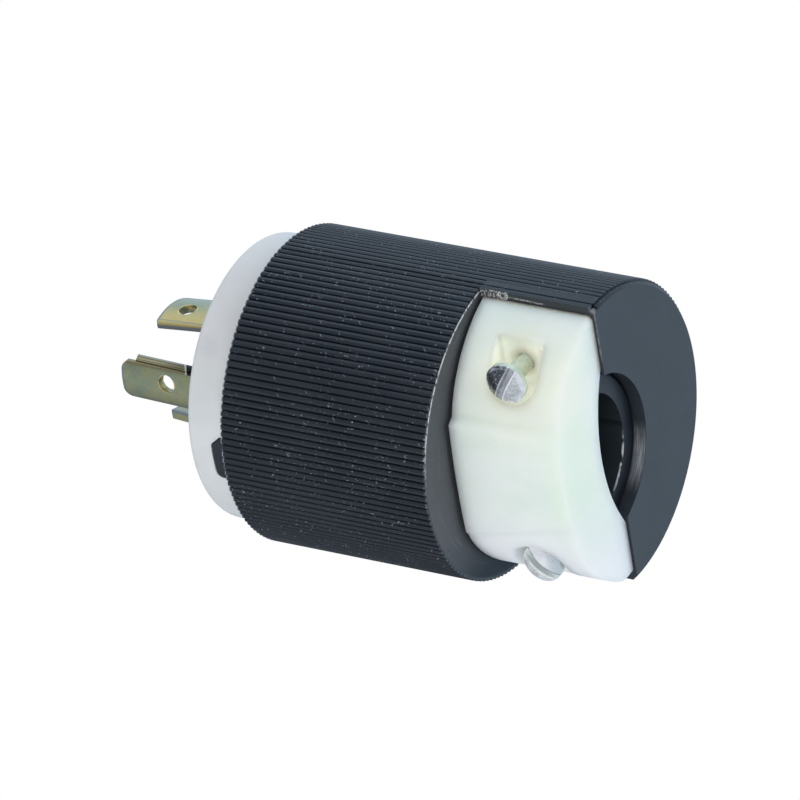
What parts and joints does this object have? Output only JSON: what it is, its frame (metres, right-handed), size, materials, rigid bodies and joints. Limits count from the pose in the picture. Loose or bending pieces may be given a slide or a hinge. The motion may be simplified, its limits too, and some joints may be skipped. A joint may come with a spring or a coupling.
{
  "type": "locking power plug",
  "caption": "Round locking power plug: ribbed black shell, white front body with curved brass blades and a screwed cord clamp.",
  "frame": {"origin": "centre of the shell's round outline in the plane of the rear face, which the plug stands on", "axes": "+Z along the body towards the blades; the cord clamp faces -Y; the key and the ground blade are on that side"},
  "size_m": [0.038, 0.038, 0.0639],
  "materials": {
    "shell_black": "satin",
    "nylon_white": "satin",
    "clamp_milk": "gloss",
    "brass_blade": "tarnished",
    "brass_screw": "bright",
    "screw_green": "gloss",
    "screw_plated": "bright"
  },
  "bodies": {
    "root": {"shell": "shell_black", "front_body": "nylon_white", "cord_clamp": "clamp_milk", "ground_blade": "brass_blade", "blade_line_a": "brass_blade", "blade_line_b": "brass_blade", "terminal_screw_ground": "screw_green", "terminal_screw_line_a": "brass_screw", "terminal_screw_line_b": "screw_plated", "terminal_plate_ground": "brass_screw", "terminal_plate_line_a": "brass_screw", "terminal_plate_line_b": "brass_screw", "assembly_screw_a": "screw_plated", "assembly_screw_b": "screw_plated", "shell_insert_a": "brass_screw", "shell_insert_b": "brass_screw", "clamp_screw_left": "screw_plated", "clamp_screw_right": "screw_plated", "clamp_nut_left": "screw_plated", "clamp_nut_right": "screw_plated"}
  },
  "joints": []
}
